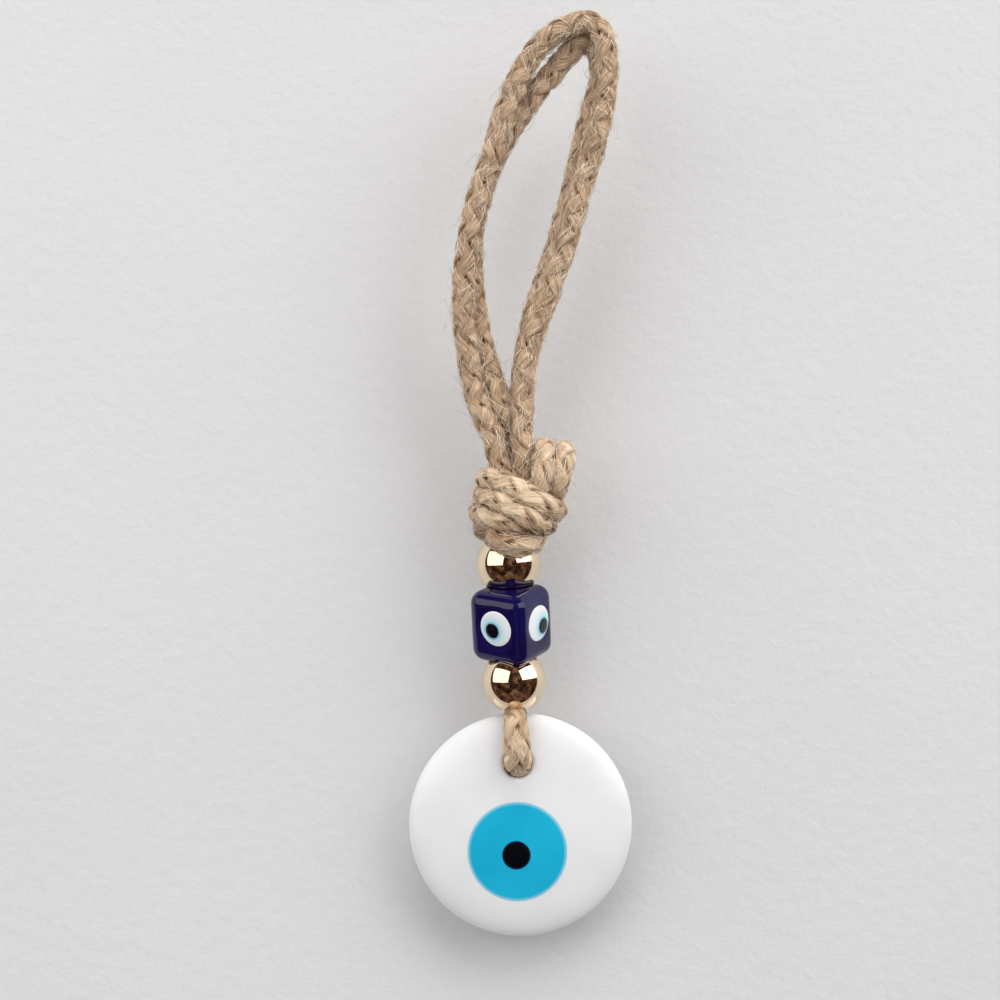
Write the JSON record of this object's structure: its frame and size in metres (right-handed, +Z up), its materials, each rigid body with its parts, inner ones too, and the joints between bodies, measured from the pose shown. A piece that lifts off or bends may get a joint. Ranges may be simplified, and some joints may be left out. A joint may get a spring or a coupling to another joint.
{
  "type": "evil eye ornament",
  "caption": "Hanging evil eye charm: a flat glass eye on a doubled braided jute cord with metal beads, a cube eye bead, a knot and a hanging loop.",
  "frame": {"origin": "the point under the top of the loop where a hook carries the ornament", "axes": "+Z up along the hanging string, -Y out of the front of the eye, +X to the viewer's right"},
  "size_m": [0.044, 0.016, 0.1666],
  "materials": {
    "jute": "braided natural jute fibre, matt",
    "gold": "mirror-polished pale gold plating",
    "navy_glass": "deep navy glass, glossy, nearly opaque",
    "white_glass": "opaque white glass, polished",
    "blue_glass": "opaque turquoise-blue glass, polished",
    "pale_blue_glass": "opaque pale blue glass, polished",
    "black_glass": "opaque black glass, polished"
  },
  "bodies": {
    "loop": {"loop_cord_outer": "jute", "loop_cord_inner": "jute"},
    "string": {"knot": "jute", "core_cord_front": "jute", "core_cord_back": "jute"},
    "upper_bead": {"bead_upper": "gold"},
    "cube": {"cube_body": "navy_glass", "cube_eye_white_1": "white_glass", "cube_eye_white_2": "white_glass", "cube_eye_white_3": "white_glass", "cube_eye_white_4": "white_glass", "cube_eye_iris_1": "pale_blue_glass", "cube_eye_iris_2": "pale_blue_glass", "cube_eye_iris_3": "pale_blue_glass", "cube_eye_iris_4": "pale_blue_glass", "cube_eye_pupil_1": "black_glass", "cube_eye_pupil_2": "black_glass", "cube_eye_pupil_3": "black_glass", "cube_eye_pupil_4": "black_glass"},
    "lower_bead": {"bead_lower": "gold"},
    "bight": {"bight_cord": "jute"},
    "disc": {"disc_body": "white_glass", "disc_iris": "blue_glass", "disc_pupil": "black_glass"}
  },
  "joints": [
    {"name": "neck_swing", "type": "hinge", "parent": "loop", "child": "string", "pos_m": [-0.0174, 0, -0.075], "axis": [1, 0, 0], "range_deg": [-35, 35]},
    {"name": "upper_bead_spin", "type": "hinge", "parent": "string", "child": "upper_bead", "pos_m": [-0.0187, 0, -0.0919], "axis": [0, 0, 1], "continuous": true},
    {"name": "cube_spin", "type": "hinge", "parent": "string", "child": "cube", "pos_m": [-0.0187, 0, -0.1025], "axis": [0, 0, 1], "continuous": true},
    {"name": "lower_bead_spin", "type": "hinge", "parent": "string", "child": "lower_bead", "pos_m": [-0.0187, 0, -0.1131], "axis": [0, 0, 1], "continuous": true},
    {"name": "bight_twist", "type": "hinge", "parent": "string", "child": "bight", "pos_m": [-0.0187, 0, -0.1172], "axis": [0, 0, 1], "range_deg": [-45, 45]},
    {"name": "disc_swing", "type": "hinge", "parent": "bight", "child": "disc", "pos_m": [-0.0187, 0, -0.1279], "axis": [0, 1, 0], "range_deg": [-20, 20]}
  ]
}
